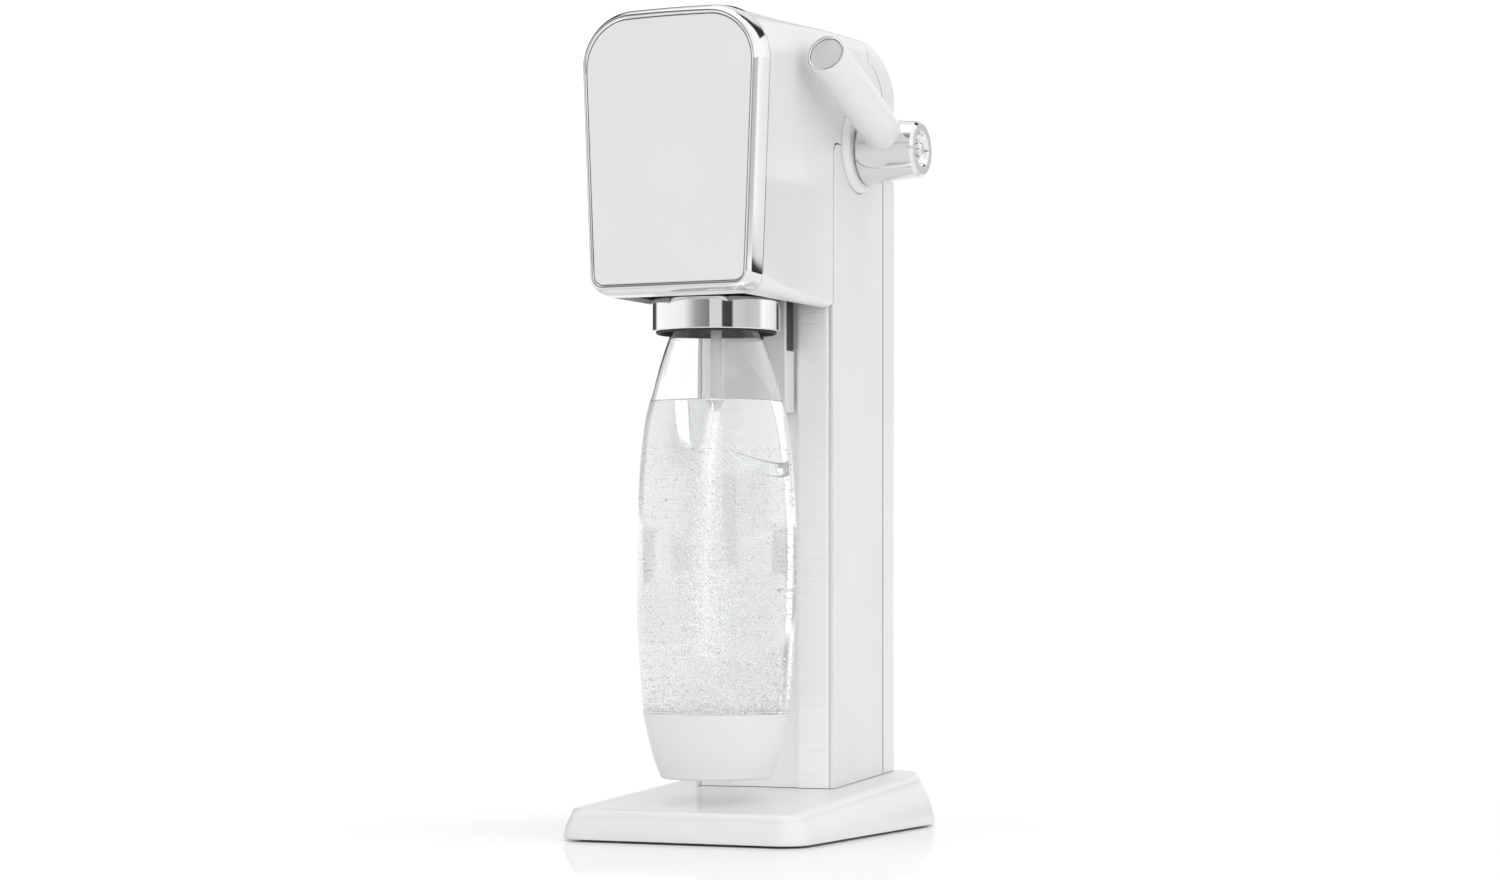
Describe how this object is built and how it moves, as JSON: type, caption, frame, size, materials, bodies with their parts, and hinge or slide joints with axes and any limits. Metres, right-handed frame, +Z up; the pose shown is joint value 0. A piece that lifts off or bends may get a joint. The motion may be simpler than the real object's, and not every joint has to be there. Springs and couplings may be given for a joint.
{
  "type": "soda carbonator",
  "caption": "Countertop soda carbonator with wedge base, gas column, chrome-framed head, side pull lever, tilting bottle carrier and clear bottle in a white foot cup.",
  "frame": {"origin": "on the underside of the base, midway between its sides and near mid depth; the rubber feet stand just below it", "axes": "+Z up, -Y the front the machine faces, +X the right side with the pull lever"},
  "size_m": [0.1483, 0.2132, 0.4356],
  "materials": {
    "white_gloss": "gloss",
    "white_satin": "satin",
    "face_white": "semi gloss",
    "grey_plastic": "matte",
    "dark_plastic": "satin",
    "black_rubber": "matte",
    "chrome": "polished",
    "silver_disc": "pearl silver",
    "brushed_steel": "polished",
    "brass": "satin",
    "cylinder_paint": "gloss",
    "latch_plastic": "satin",
    "bottle_clear": "clear",
    "tube_plastic": "satin"
  },
  "bodies": {
    "machine": {"base_shell": "white_gloss", "base_cover": "grey_plastic", "base_screw_1": "brushed_steel", "base_screw_2": "brushed_steel", "base_screw_3": "brushed_steel", "base_screw_4": "brushed_steel", "foot_1": "black_rubber", "foot_2": "black_rubber", "foot_3": "black_rubber", "foot_4": "black_rubber", "column_shell": "white_satin", "column_front_panel": "white_satin", "head_shell": "white_gloss", "bezel": "chrome", "front_panel": "face_white", "head_underside": "dark_plastic", "hub_boss": "white_gloss", "chassis": "dark_plastic", "bushing_left": "brass", "bushing_right": "brass", "valve_block": "dark_plastic", "cylinder_seat": "black_rubber", "gas_cylinder": "cylinder_paint", "cylinder_valve": "brass", "gas_hose": "black_rubber", "return_spring": "brushed_steel"},
    "lever": {"lever_hub": "chrome", "hub_button": "chrome", "lever_arm": "white_gloss", "lever_end_ring": "chrome", "lever_end_disc": "silver_disc", "lever_shaft": "brushed_steel", "cam": "dark_plastic"},
    "push_rod": {"push_rod": "brushed_steel"},
    "carrier": {"collar_ring": "brushed_steel", "carrier_cup": "black_rubber", "nozzle_seal": "black_rubber", "nozzle_tube": "tube_plastic", "nozzle_body": "dark_plastic", "relief_valve": "brass", "pivot_pin_left": "brass", "pivot_pin_right": "brass", "carrier_bracket": "dark_plastic", "carrier_guard": "white_satin"},
    "bottle": {"bottle": "bottle_clear", "bottle_cup": "white_gloss"},
    "rear_cover": {"rear_cover": "white_gloss"},
    "cover_button": {"cover_button": "white_satin"},
    "quick_connect": {"quick_connect_yoke": "latch_plastic"}
  },
  "joints": [
    {"name": "lever_pull", "type": "hinge", "parent": "machine", "child": "lever", "pos_m": [0, 0.047, 0.3695], "axis": [1, 0, 0], "range_deg": [0, 58], "stiffness_Nm_per_rad": 0.5, "springref_deg": -28.65},
    {"name": "push_rod_slide", "type": "slide", "parent": "machine", "child": "push_rod", "axis": [0, 0, -1], "range_m": [0, 0.0031], "deforming": ["return_spring"]},
    {"name": "carrier_tilt", "type": "hinge", "parent": "machine", "child": "carrier", "pos_m": [0, -0.05, 0.3035], "axis": [-1, 0, 0], "range_deg": [0, 14]},
    {"name": "bottle_release", "type": "slide", "parent": "carrier", "child": "bottle", "axis": [0, 0, -1], "range_m": [0, 0.008]},
    {"name": "rear_cover_slide", "type": "slide", "parent": "machine", "child": "rear_cover", "axis": [0, 0.9978, 0.0663], "range_m": [0, 0.06]},
    {"name": "cover_button_press", "type": "slide", "parent": "rear_cover", "child": "cover_button", "axis": [0, -1, 0], "range_m": [0, 0.0025], "stiffness_N_per_m": 200, "springref_m": -0.003},
    {"name": "yoke_lift", "type": "hinge", "parent": "machine", "child": "quick_connect", "pos_m": [0, 0.058, 0.3205], "axis": [1, 0, 0], "range_deg": [0, 50]}
  ],
  "couplings": [
    {"joint": "push_rod_slide", "follows": "lever_pull", "m_per_rad": 0.0029}
  ]
}
